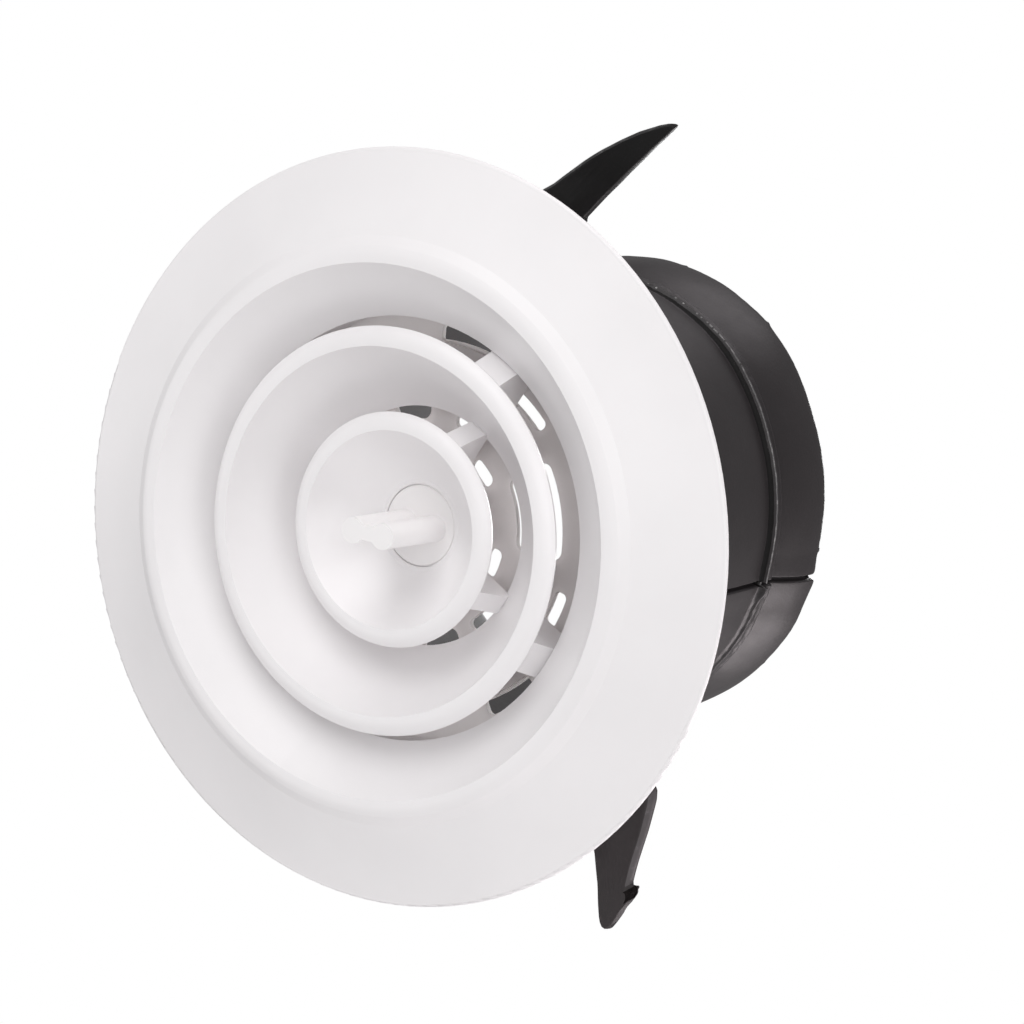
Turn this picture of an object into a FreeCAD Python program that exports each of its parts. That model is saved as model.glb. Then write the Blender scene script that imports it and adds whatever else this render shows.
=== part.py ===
import FreeCAD, Part
import math
import os
import Sketcher
from FreeCAD import Placement, Rotation, Vector

# Round ventilation diffuser for a 100 mm duct.
# Frame: the origin is the centre of the ceiling cut-out, in the plane of the flange's back rim.
# +Y runs into the duct, -Y into the room, and +Z is up. Millimetres and degrees throughout.

doc = FreeCAD.newDocument("diffuser")

DIMENSIONS = {
    # flange, crest and bell of the face frame: radii, and depths in front of the ceiling plane
    "flange_r": 75.0,
    "flange_edge": 1.85,
    "flange_round": 0.75,
    "rim_chamfer": 1.0,
    "rim_inner_r": 72.0,
    "rim_step": 0.3,
    "crest_foot_r": 58.0,
    "crest_foot_front": 8.15,
    "crest_outer_r": 56.0,
    "crest_outer_front": 9.6,
    "crest_inner_r": 52.7,
    "crest_front": 10.2,
    "crest_back_r": 54.3,
    "crest_back_front": 7.8,
    "foot_back_r": 57.0,
    "foot_back_front": 6.3,
    "throat_r": 42.0,
    "throat_front": 0.3,
    "flange_bow_r": 160.0,
    "crest_bow_r": 4.2,
    "bell_bow_r": 26.0,
    # collar behind the throat
    "throat_lip": 0.9,
    "seat_r": 43.2,
    "seat_y": 10.2,
    "collar_in_r": 43.8,
    "collar_out_r": 45.6,
    "collar_end": 24.0,
    "snap_r": 43.45,
    "snap_y": 11.5,
    "snap_end": 12.7,
    "snap_slope": 0.3,
    # middle ring
    "ring_r": 40.3,
    "ring_edge_front": 6.4,
    "ring_crest_r": 36.4,
    "ring_crest_front": 8.1,
    "ring_inner_r": 23.9,
    "ring_back": 8.1,
    "ring_lip_bow": 3.6,
    "ring_bow": 26.0,
    "ring_back_bow": 28.0,
    "ring_foot_r": 25.8,
    "ring_shoulder_r": 37.6,
    "ring_shoulder_front": 6.2,
    "ring_lip_t": 0.9,
    # dish
    "dish_r": 23.3,
    "dish_edge_front": 2.3,
    "dish_crest_r": 19.7,
    "dish_crest_front": 3.8,
    "dish_floor_r": 9.3,
    "dish_floor_y": 7.2,
    "dish_back": 9.4,
    "dish_lip_bow": 3.4,
    "dish_bow": 18.0,
    "dish_back_bow": 20.0,
    "dish_foot_r": 10.6,
    "dish_shoulder_r": 20.7,
    "dish_shoulder_front": 1.9,
    "dish_lip_t": 0.8,
    "knob_hole_r": 8.28,
    # ribs of the core
    "rib_w": 7.2,
    "inner_rib_w": 4.2,
    "rib_angle": 51.0,
    "core_r": 43.1,
    "rib_back": 7.9,
    "rib_front": 4.6,
    "rib_bottom_y": 5.9,
    "inner_rib_front": 0.9,
    "inner_rib_y": 6.2,
    "rib_root": 1.2,
    # knob
    "knob_r": 8.2,
    "knob_front": 7.6,
    "knob_back": 9.3,
    "shaft_r": 4.0,
    "running_fit": 0.06,
    "square_half": 2.2,
    "square_end": 14.4,
    "handle_front": 11.0,
    "lobe_r": 2.6,
    "lobe_offset": 3.5,
    "waist_half": 1.5,
    "handle_angle": -10.5,
    "pilot_r": 1.25,
    "pilot_depth": 5.4,
    "overlap": 0.5,
    "edge_break": 0.3,
    # slotted plates
    "plate_t": 1.2,
    "plate_r": 43.7,
    "boss_r": 7.0,
    "boss_gap": 0.1,
    "disc_y": 11.5,
    "disc_t": 1.2,
    "disc_r": 37.0,
    "hub_r": 5.5,
    "hub_fillet": 0.8,
    "hub_end": 14.8,
    "disc_square_half": 2.25,
    # slots: radii, corner radii, and angles from the middle of their quarter
    "slot_mid_angle": 5.0,
    "disc_slot_inward": 0.9,
    "disc_slot_outward": 0.2,
    "long_slot_in": 21.1,
    "long_slot_out": 31.6,
    "long_slot_corner": 1.9,
    "long_slot_half": 18.5,
    "upright_slot_half": 10.5,
    "short_slot_in": 32.3,
    "short_slot_out": 35.0,
    "short_slot_corner": 1.1,
    "short_slot_from": 28.6,
    "short_slot_upper_to": 46.5,
    "short_slot_lower_to": 40.7,
    "inner_slot_in": 15.4,
    "inner_slot_out": 18.4,
    "inner_slot_corner": 1.35,
    "inner_slot_from": 21.8,
    "inner_slot_to": 41.6,
    "corner_slot_in": 21.1,
    "corner_slot_out": 23.5,
    "corner_slot_corner": 1.1,
    "corner_slot_upper_from": 26.3,
    "corner_slot_lower_from": 19.6,
    "corner_slot_to": 41.0,
    "outer_slot_in": 36.6,
    "outer_slot_out": 40.2,
    "outer_slot_corner": 1.1,
    "outer_slot_from": 13.5,
    "outer_slot_to": 31.5,
    # spring washer, flat washer and screw
    "washer_in_r": 1.65,
    "spring_r": 4.2,
    "spring_t": 0.4,
    "spring_rise": 0.8,
    "washer_r": 3.5,
    "washer_t": 0.5,
    "head_r": 2.8,
    "head_t": 1.8,
    "head_flat_r": 2.0,
    "head_round": 1.0,
    "head_side": 1.1,
    "point_r": 0.85,
    "point_t": 0.8,
    "recess_r": 0.95,
    "recess_depth": 1.1,
    "screw_length": 7.0,
    # sleeve
    "sleeve_start": 14.0,
    "sleeve_wall": 1.8,
    "sleeve_end": 85.5,
    "bead_y": 66.6,
    "bead_end": 69.2,
    "bead_rise": 0.7,
    "bead_fall": 0.9,
    "bead_r": 48.7,
    "groove_end": 71.4,
    "groove_rise": 0.4,
    "groove_r": 46.8,
    "cove_end": 80.8,
    "cove_r": 14.0,
    "lip_r": 49.7,
    "lip_in_r": 45.0,
    "waist_start": 61.6,
    # claws and the ears that carry them
    "pivot_r": 49.5,
    "pivot_y": 7.6,
    "trunnion_r": 1.5,
    "knuckle_r": 2.3,
    "claw_half": 8.2,
    "ear_gap": 0.35,
    "ear_t": 2.2,
    "ear_out_r": 52.3,
    "ear_front": 6.7,
    "ear_start": 1.5,
    "ear_end": 11.4,
    "ear_chamfer": 2.0,
    "root": 0.8,
    "claw_t": 2.3,
    "claw_bend_r": 62.0,
    "claw_front": 13.6,
    "claw_back_shift": 1.6,
    "claw_inner": 45.0,
    "claw_wide": 20.0,
    "claw_neck_r": 58.0,
    "claw_waist_r": 70.0,
    "claw_waist": 4.2,
    "claw_bow_start": 68.0,
    "claw_edge_bow_r": 95.0,
    "claw_tip_r": 95.3,
    "claw_tip_shift": 15.6,
    "claw_tip_half": 0.45,
    "claw_tip_slant": 0.8,
    "claw_point": 0.2,
    "claw_clear": 5.0,
    "sliver": 0.02,
    "torn_nub_r": 84.2,
    "torn_nub_w": 3.6,
    "torn_notch_r": 84.6,
    "torn_notch_w": 5.0,
    "torn_end_r": 85.8,
    "torn_end_w": 13.6,
    "torn_round_r": 5.7,
    "claw_first_angle": 62.0,
    "claw_left_flex": 18.0,
    # gussets behind the bell
    "gusset_t": 1.4,
    "gusset_r": 55.5,
    "gusset_knee_front": 6.4,
    "gusset_front": 8.2,
    "gusset_slant": 1.0,
}

sheet = doc.addObject("Spreadsheet::Sheet", "Dims")
for row, (alias, value) in enumerate(DIMENSIONS.items(), start=1):
    sheet.set(f"A{row}", alias)
    sheet.set(f"B{row}", str(value))
    sheet.setAlias(f"B{row}", alias)
doc.recompute()

SECTORS = 4
CLAWS = 3
subparts = []


# ---------------------------------------------------------------- helpers

def terms(text):
    """A sum such as "flange_r - shell" as a list of signs and words."""
    sign = 1
    found = []
    for word in text.split():
        if word in "+-":
            sign = 1 if word == "+" else -1
        else:
            found.append((sign, word))
            sign = 1
    return found


def size(text):
    """The value of a sum of sheet cells and plain numbers."""
    total = 0.0
    for sign, word in terms(text):
        total += sign * (float(word) if word[0].isdigit() else float(sheet.get(word)))
    return total


def bound(text):
    """The same sum as an expression on the sheet."""
    words = []
    for sign, word in terms(text):
        words.append(("+ " if sign > 0 else "- ") + (word if word[0].isdigit() else "Dims." + word))
    return "0 " + " ".join(words)


def new_body(name):
    body = doc.addObject("PartDesign::Body", name)
    body.Label = name
    return body


def origin_feature(body, role):
    return next(f for f in body.Origin.OriginFeatures if f.Role == role)


def new_sketch(body, name, role, offset=0.0, turn=0.0):
    """A sketch on one of the body's origin planes, moved along its normal and turned about it."""
    sketch = body.newObject("Sketcher::SketchObject", name)
    sketch.AttachmentSupport = [(origin_feature(body, role), "")]
    sketch.MapMode = "FlatFace"
    sketch.AttachmentOffset = Placement(Vector(0, 0, offset), Rotation(Vector(0, 0, 1), turn))
    return sketch


def drive(sketch, constraint, text):
    """Adds a dimension and binds it to the sheet."""
    index = sketch.addConstraint(constraint)
    sketch.setExpression(f"Constraints[{index}]", text)


def arc_between(start, end, radius, side):
    """A minor arc from start to end with its centre on the left (side 1) or right (side -1) of the way."""
    chord = end - start
    middle = (start + end) * 0.5
    left = Vector(-chord.y, chord.x, 0).normalize()
    rise = math.sqrt(radius ** 2 - (chord.Length / 2) ** 2)
    centre = middle + left * (side * rise)
    first, last = (start, end) if side > 0 else (end, start)
    angle = [math.atan2(p.y - centre.y, p.x - centre.x) for p in (first, last)]
    if angle[1] < angle[0]:
        angle[1] += 2 * math.pi
    return Part.ArcOfCircle(Part.Circle(centre, Vector(0, 0, 1), radius), *angle)


def loop(sketch, corners):
    """A closed outline of (x, y) corners. A corner (x, y, radius, side) bows the edge that follows it."""
    points = [Vector(size(c[0]), size(c[1]), 0) for c in corners]
    edges = []
    for i, corner in enumerate(corners):
        start, end = points[i], points[(i + 1) % len(points)]
        if len(corner) == 2:
            edges.append((sketch.addGeometry(Part.LineSegment(start, end)), 1, 2))
            continue
        side = corner[3]
        index = sketch.addGeometry(arc_between(start, end, size(corner[2]), side))
        edges.append((index, 1, 2) if side > 0 else (index, 2, 1))
    for i, (index, first, last) in enumerate(edges):
        following, next_first, _ = edges[(i + 1) % len(edges)]
        sketch.addConstraint(Sketcher.Constraint("Coincident", index, last, following, next_first))
    for (index, first, _), corner, point in zip(edges, corners, points):
        for kind, text, value, axis in (
            ("DistanceX", corner[0], point.x, -2),
            ("DistanceY", corner[1], point.y, -1),
        ):
            if text == "0":
                sketch.addConstraint(Sketcher.Constraint("PointOnObject", index, first, axis))
            else:
                drive(sketch, Sketcher.Constraint(kind, -1, 1, index, first, value), bound(text))
        if len(corner) == 4:
            drive(sketch, Sketcher.Constraint("Radius", index, size(corner[2])), bound(corner[2]))


def circle(sketch, radius, x="0", y="0"):
    index = sketch.addGeometry(Part.Circle(Vector(size(x), size(y), 0), Vector(0, 0, 1), size(radius)))
    if x == "0" and y == "0":
        sketch.addConstraint(Sketcher.Constraint("Coincident", index, 3, -1, 1))
    else:
        drive(sketch, Sketcher.Constraint("DistanceX", -1, 1, index, 3, size(x)), bound(x))
        drive(sketch, Sketcher.Constraint("DistanceY", -1, 1, index, 3, size(y)), bound(y))
    drive(sketch, Sketcher.Constraint("Radius", index, size(radius)), bound(radius))


def revolve(body, name, corners):
    """Turns an outline of (radius, depth) corners about the Y axis."""
    sketch = new_sketch(body, name + "_profile", "XY_Plane")
    loop(sketch, corners)
    feature = body.newObject("PartDesign::Revolution", name)
    feature.Profile = sketch
    feature.ReferenceAxis = (sketch, ["V_Axis"])
    feature.Angle = 360
    doc.recompute()
    return feature


def pad(body, name, sketch, length, midplane=False, reversed_way=False):
    feature = body.newObject("PartDesign::Pad", name)
    feature.Profile = sketch
    feature.setExpression("Length", length)
    feature.Midplane = midplane
    feature.Reversed = reversed_way
    doc.recompute()
    return feature


def cut_through(body, name, sketch):
    """Cuts a sketch through the whole solid, both ways, and makes sure that it removed something."""
    before = body.Shape.Volume
    feature = body.newObject("PartDesign::Pocket", name)
    feature.Profile = sketch
    feature.Type = "ThroughAll"
    feature.Midplane = True
    doc.recompute()
    if body.Shape.Volume > before - 1e-3:
        raise RuntimeError(f"{name} cut nothing")
    return feature


def cut_blind(body, name, sketch, depth, radius):
    """Cuts a round hole of a set depth forward from its sketch and checks the volume that it removed."""
    before = body.Shape.Volume
    feature = body.newObject("PartDesign::Pocket", name)
    feature.Profile = sketch
    feature.Reversed = True
    feature.setExpression("Length", "Dims." + depth)
    doc.recompute()
    expected = math.pi * size(radius) ** 2 * size(depth)
    if abs(before - body.Shape.Volume - expected) > 0.01 * expected:
        raise RuntimeError(f"{name} removed {before - body.Shape.Volume:.2f} mm3, not {expected:.2f}")
    return feature


def repeat(body, name, features, count):
    pattern = body.newObject("PartDesign::PolarPattern", name)
    pattern.Originals = features
    pattern.Axis = (origin_feature(body, "Y_Axis"), [""])
    pattern.Angle = 360
    pattern.Occurrences = count
    body.Tip = pattern
    doc.recompute()
    return pattern


def finished(body):
    subparts.append(body)
    return body


# ---------------------------------------------------------------- face frame

def make_face_frame():
    body = new_body("face_frame")
    revolve(body, "frame_shell", [
        ("rim_inner_r", "0"),
        ("flange_r - rim_chamfer", "0"),
        ("flange_r", "0 - rim_chamfer"),
        ("flange_r", "flange_round - flange_edge", "flange_round", -1),
        ("flange_r - flange_round", "0 - flange_edge", "flange_bow_r", 1),
        ("crest_foot_r", "0 - crest_foot_front"),
        ("crest_outer_r", "0 - crest_outer_front", "crest_bow_r", -1),
        ("crest_inner_r", "0 - crest_front", "bell_bow_r", 1),
        ("throat_r", "0 - throat_front"),
        ("throat_r", "throat_lip"),
        ("seat_r", "throat_lip"),
        ("seat_r", "seat_y"),
        ("collar_in_r", "seat_y"),
        ("collar_in_r", "snap_y"),
        ("snap_r", "snap_y + snap_slope"),
        ("snap_r", "snap_end - snap_slope"),
        ("collar_in_r", "snap_end"),
        ("collar_in_r", "collar_end"),
        ("collar_out_r", "collar_end"),
        ("collar_out_r", "throat_lip"),
        ("crest_back_r", "0 - crest_back_front"),
        ("foot_back_r", "0 - foot_back_front"),
        ("rim_inner_r", "0 - rim_step"),
    ])
    ears = []
    ear_side = size("claw_half + ear_gap")
    for name, side, back in (("upper_ear", 1, False), ("lower_ear", -1, True)):
        sketch = new_sketch(body, name + "_outline", "XY_Plane", offset=side * ear_side)
        loop(sketch, [
            ("root - collar_out_r", "ear_start"),
            ("root - collar_out_r", "ear_end"),
            ("ear_chamfer - ear_out_r", "ear_end"),
            ("0 - ear_out_r", "ear_end - ear_chamfer"),
            ("0 - ear_out_r", "0 - ear_front"),
        ])
        circle(sketch, "trunnion_r + running_fit", "0 - pivot_r", "pivot_y")
        ears.append(pad(body, name, sketch, "Dims.ear_t", reversed_way=back))
    repeat(body, "ears", ears, CLAWS)
    sketch = new_sketch(body, "gusset_outline", "XY_Plane")
    loop(sketch, [
        ("collar_out_r - root", "ear_start"),
        ("collar_out_r - root", "ear_end"),
        ("gusset_r", "0 - gusset_knee_front"),
        ("gusset_r - gusset_slant", "0 - gusset_front"),
    ])
    gusset = pad(body, "gusset", sketch, "Dims.gusset_t", midplane=True)
    repeat(body, "gussets", [gusset], CLAWS)
    body.Placement = Placement(Vector(), Rotation(Vector(0, 1, 0), 180 - size("claw_first_angle")))
    return finished(body)


# ---------------------------------------------------------------- core: ring, dish and ribs

def make_core():
    body = new_body("diffuser_core")
    revolve(body, "middle_ring", [
        ("ring_r", "0 - ring_edge_front", "ring_lip_bow", -1),
        ("ring_crest_r", "0 - ring_crest_front", "ring_bow", 1),
        ("ring_inner_r", "ring_back - edge_break - edge_break"),
        ("ring_inner_r + edge_break", "ring_back"),
        ("ring_foot_r", "ring_back", "ring_back_bow", -1),
        ("ring_shoulder_r", "0 - ring_shoulder_front"),
        ("ring_r - edge_break", "ring_lip_t - ring_edge_front"),
    ])
    revolve(body, "dish", [
        ("dish_r", "0 - dish_edge_front", "dish_lip_bow", -1),
        ("dish_crest_r", "0 - dish_crest_front", "dish_bow", 1),
        ("dish_floor_r", "dish_floor_y"),
        ("knob_hole_r + edge_break", "dish_floor_y"),
        ("knob_hole_r", "dish_floor_y + edge_break"),
        ("knob_hole_r", "dish_back"),
        ("dish_foot_r", "dish_back", "dish_back_bow", -1),
        ("dish_shoulder_r", "0 - dish_shoulder_front"),
        ("dish_r - edge_break", "dish_lip_t - dish_edge_front"),
    ])
    sketch = new_sketch(body, "outer_rib_outline", "XY_Plane")
    loop(sketch, [
        ("core_r", "throat_lip + boss_gap"),
        ("throat_r - edge_break", "throat_lip + boss_gap"),
        ("ring_shoulder_r + edge_break", "0 - rib_front"),
        ("ring_foot_r + rib_root", "rib_bottom_y"),
        ("ring_foot_r + rib_root + overlap", "rib_back"),
        ("core_r", "rib_back"),
    ])
    outer_rib = pad(body, "outer_rib", sketch, "Dims.rib_w", midplane=True)
    sketch = new_sketch(body, "inner_rib_outline", "XY_Plane")
    loop(sketch, [
        ("ring_inner_r + root", "inner_rib_y"),
        ("dish_r - rib_root", "0 - inner_rib_front"),
        ("dish_foot_r + root", "knob_front + overlap"),
        ("dish_foot_r + rib_root", "ring_back + edge_break"),
        ("ring_inner_r + root", "rib_back"),
    ])
    inner_rib = pad(body, "inner_rib", sketch, "Dims.inner_rib_w", midplane=True)
    repeat(body, "ribs", [outer_rib, inner_rib], SECTORS)
    body.Placement = Placement(Vector(), Rotation(Vector(0, 1, 0), 0 - size("rib_angle")))
    return finished(body)


# ---------------------------------------------------------------- slotted plates

# prefix of the slot's radii, then its first and last angle from the middle of its quarter
SIDE_SLOTS = [
    ("long_slot", "0 - long_slot_half", "long_slot_half"),
    ("short_slot", "short_slot_from", "short_slot_upper_to"),
    ("short_slot", "0 - short_slot_lower_to", "0 - short_slot_from"),
]
UPRIGHT_SLOTS = [
    ("long_slot", "0 - upright_slot_half", "upright_slot_half"),
    ("corner_slot", "corner_slot_lower_from", "corner_slot_to"),
    ("corner_slot", "0 - corner_slot_to", "0 - corner_slot_upper_from"),
]
INNER_SLOTS = [
    ("inner_slot", "inner_slot_from", "inner_slot_to"),
    ("inner_slot", "0 - inner_slot_to", "0 - inner_slot_from"),
]
OUTER_SLOTS = [
    ("outer_slot", "outer_slot_from", "outer_slot_to"),
    ("outer_slot", "0 - outer_slot_to", "0 - outer_slot_from"),
]


def sector_slot(sketch, inner, outer, corner, start, end):
    """A slot with rounded corners between two radii and two angles about the sketch's origin."""
    low, high, bend = size(inner), size(outer), size(corner)
    first, last = math.radians(start), math.radians(end)
    near, far = low + bend, high - bend
    lean_in, lean_out = math.asin(bend / near), math.asin(bend / far)
    foot, head = near * math.cos(lean_in), far * math.cos(lean_out)
    quarter, half = math.pi / 2, math.pi

    def at(angle):
        return Vector(math.cos(angle), math.sin(angle), 0)

    def arc(centre, radius, begin, finish):
        ring = Part.Circle(centre, Vector(0, 0, 1), radius)
        return sketch.addGeometry(Part.ArcOfCircle(ring, begin, finish))

    centre = Vector(0, 0, 0)
    floor = arc(centre, low, first + lean_in, last - lean_in)
    roof = arc(centre, high, first + lean_out, last - lean_out)
    corners = [
        arc(at(first + lean_in) * near, bend, first + lean_in - half, first - quarter),
        arc(at(first + lean_out) * far, bend, first - quarter, first + lean_out),
        arc(at(last - lean_out) * far, bend, last - lean_out, last + quarter),
        arc(at(last - lean_in) * near, bend, last + quarter, last - lean_in + half),
    ]
    rising = sketch.addGeometry(Part.LineSegment(at(first) * foot, at(first) * head))
    falling = sketch.addGeometry(Part.LineSegment(at(last) * head, at(last) * foot))
    for join in (
        (floor, 1, corners[0], 1),
        (corners[0], 2, rising, 1),
        (rising, 2, corners[1], 1),
        (corners[1], 2, roof, 1),
        (roof, 2, corners[2], 1),
        (corners[2], 2, falling, 1),
        (falling, 2, corners[3], 1),
        (corners[3], 2, floor, 2),
    ):
        sketch.addConstraint(Sketcher.Constraint("Tangent", *join))
    for index, radius in ((floor, inner), (roof, outer)):
        sketch.addConstraint(Sketcher.Constraint("Coincident", index, 3, -1, 1))
        drive(sketch, Sketcher.Constraint("Radius", index, size(radius)), bound(radius))
    for index in corners:
        drive(sketch, Sketcher.Constraint("Radius", index, bend), bound(corner))
    for index in (rising, falling):
        sketch.addConstraint(Sketcher.Constraint("PointOnObject", -1, 1, index))


def cut_slots(body, name, slots, middle, inward, outward, count):
    """Cuts one quarter's slots, widened inwards and outwards, and repeats them round the axis."""
    sketch = new_sketch(body, name + "_outline", "XZ_Plane", turn=middle)
    for prefix, start, end in slots:
        inner, outer = f"{prefix}_in - {inward}", f"{prefix}_out + {outward}"
        spread = math.degrees(size(inward) / size(outer))
        first, last = size(start) - spread, size(end) + spread
        sector_slot(sketch, inner, outer, prefix + "_corner", first, last)
    repeat(body, name, [cut_through(body, name + "_quarter", sketch)], count)


def cut_pattern(body, inward, outward):
    """The slots that the grille and the damper share."""
    middle = size("slot_mid_angle")
    cut_slots(body, "side_slots", SIDE_SLOTS, middle, inward, outward, 2)
    cut_slots(body, "upright_slots", UPRIGHT_SLOTS, middle + 90, inward, outward, 2)
    cut_slots(body, "inner_slots", INNER_SLOTS, middle, inward, outward, SECTORS)


def make_grille_plate():
    body = new_body("grille_plate")
    bore = "shaft_r + running_fit"
    revolve(body, "plate", [
        (bore, "knob_back + boss_gap"),
        ("boss_r", "knob_back + boss_gap"),
        ("boss_r", "seat_y"),
        ("plate_r", "seat_y"),
        ("plate_r", "seat_y + plate_t"),
        (bore, "seat_y + plate_t"),
    ])
    cut_pattern(body, "0", "0")
    cut_slots(body, "outer_slots", OUTER_SLOTS, size("slot_mid_angle"), "0", "0", SECTORS)
    return finished(body)


def make_damper_disc():
    body = new_body("damper_disc")
    revolve(body, "disc", [
        ("0", "disc_y"),
        ("disc_r", "disc_y"),
        ("disc_r", "disc_y + disc_t"),
        ("hub_r + hub_fillet", "disc_y + disc_t"),
        ("hub_r", "disc_y + disc_t + hub_fillet"),
        ("hub_r", "hub_end"),
        ("0", "hub_end"),
    ])
    sketch = new_sketch(body, "square_hole", "XZ_Plane")
    square(sketch, "disc_square_half")
    cut_through(body, "drive_hole", sketch)
    cut_pattern(body, "disc_slot_inward", "disc_slot_outward")
    return finished(body)


def square(sketch, half):
    """A square about the sketch's origin, given half of its side."""
    loop(sketch, [
        (f"0 - {half}", f"0 - {half}"),
        (half, f"0 - {half}"),
        (half, half),
        (f"0 - {half}", half),
    ])


# ---------------------------------------------------------------- knob, washers and screw

def make_knob():
    body = new_body("control_knob")
    revolve(body, "knob_disc", [
        ("0", "knob_front"),
        ("knob_r - edge_break", "knob_front"),
        ("knob_r", "knob_front + edge_break"),
        ("knob_r", "knob_back"),
        ("shaft_r", "knob_back"),
        ("shaft_r", "seat_y + plate_t"),
        ("0", "seat_y + plate_t"),
    ])
    root = size("seat_y + plate_t - overlap")
    sketch = new_sketch(body, "square_outline", "XZ_Plane", offset=-root)
    square(sketch, "square_half")
    length = "Dims.square_end - Dims.seat_y - Dims.plate_t + Dims.overlap"
    pad(body, "drive_square", sketch, length, reversed_way=True)
    root = size("knob_front + overlap")
    turn = size("handle_angle")
    sketch = new_sketch(body, "handle_outline", "XZ_Plane", offset=-root, turn=turn)
    dog_bone(sketch)
    pad(body, "handle", sketch, "Dims.handle_front + Dims.knob_front + Dims.overlap")
    sketch = new_sketch(body, "pilot_outline", "XZ_Plane", offset=-size("square_end"))
    circle(sketch, "pilot_r")
    cut_blind(body, "pilot_hole", sketch, "pilot_depth", "pilot_r")
    return finished(body)


def dog_bone(sketch):
    """Two round lobes joined by a thin straight waist."""
    lobe, offset, waist = size("lobe_r"), size("lobe_offset"), size("waist_half")
    reach = math.asin(waist / lobe)
    normal = Vector(0, 0, 1)
    right = sketch.addGeometry(Part.ArcOfCircle(
        Part.Circle(Vector(offset, 0, 0), normal, lobe), reach - math.pi, math.pi - reach))
    left = sketch.addGeometry(Part.ArcOfCircle(
        Part.Circle(Vector(-offset, 0, 0), normal, lobe), reach, 2 * math.pi - reach))
    inner = offset - lobe * math.cos(reach)
    top = sketch.addGeometry(Part.LineSegment(Vector(inner, waist, 0), Vector(-inner, waist, 0)))
    bottom = sketch.addGeometry(Part.LineSegment(Vector(-inner, -waist, 0), Vector(inner, -waist, 0)))
    joins = ((right, 2, top, 1), (top, 2, left, 1), (left, 2, bottom, 1), (bottom, 2, right, 1))
    for join in joins:
        sketch.addConstraint(Sketcher.Constraint("Coincident", *join))
    for arc, sign in ((right, 1), (left, -1)):
        sketch.addConstraint(Sketcher.Constraint("PointOnObject", arc, 3, -1))
        text = "0 + Dims.lobe_offset" if sign > 0 else "0 - Dims.lobe_offset"
        drive(sketch, Sketcher.Constraint("DistanceX", -1, 1, arc, 3, sign * offset), text)
        drive(sketch, Sketcher.Constraint("Radius", arc, lobe), "Dims.lobe_r")
    for line in (top, bottom):
        sketch.addConstraint(Sketcher.Constraint("Horizontal", line))
    drive(sketch, Sketcher.Constraint("DistanceY", -1, 1, top, 1, waist), "Dims.waist_half")
    drive(sketch, Sketcher.Constraint("DistanceY", -1, 1, bottom, 1, -waist), "0 - Dims.waist_half")


def make_spring_washer():
    body = new_body("spring_washer")
    revolve(body, "cone", [
        ("washer_in_r", "hub_end + spring_rise"),
        ("spring_r", "hub_end"),
        ("spring_r", "hub_end + spring_t"),
        ("washer_in_r", "hub_end + spring_rise + spring_t"),
    ])
    return finished(body)


def make_flat_washer():
    body = new_body("flat_washer")
    front = "hub_end + spring_rise + spring_t"
    revolve(body, "ring", [
        ("washer_in_r", front),
        ("washer_r", front),
        ("washer_r", front + " + washer_t"),
        ("washer_in_r", front + " + washer_t"),
    ])
    return finished(body)


def make_screw():
    body = new_body("centre_screw")
    seat = "hub_end + spring_rise + spring_t + washer_t"
    revolve(body, "shank_and_head", [
        ("0", seat + " - screw_length"),
        ("point_r", seat + " - screw_length"),
        ("pilot_r", seat + " - screw_length + point_t"),
        ("pilot_r", seat),
        ("head_r", seat),
        ("head_r", seat + " + head_side", "head_round", 1),
        ("head_flat_r", seat + " + head_t"),
        ("recess_r", seat + " + head_t"),
        ("0", seat + " + head_t - recess_depth"),
    ])
    return finished(body)


# ---------------------------------------------------------------- sleeve

def make_sleeve():
    body = new_body("duct_sleeve")
    outside = "collar_out_r + sleeve_wall"
    revolve(body, "tube", [
        ("collar_out_r", "sleeve_start"),
        (outside, "sleeve_start"),
        (outside, "bead_y"),
        ("bead_r", "bead_y + bead_rise"),
        ("bead_r", "bead_end - bead_fall"),
        ("groove_r", "bead_end"),
        ("groove_r", "groove_end"),
        (outside, "groove_end + groove_rise", "cove_r", -1),
        ("lip_r", "cove_end"),
        ("lip_r", "sleeve_end - edge_break"),
        ("lip_r - edge_break", "sleeve_end"),
        ("lip_in_r + edge_break", "sleeve_end"),
        ("lip_in_r", "sleeve_end - edge_break"),
        ("collar_out_r", "waist_start"),
    ])
    return finished(body)


# ---------------------------------------------------------------- claws

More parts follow.
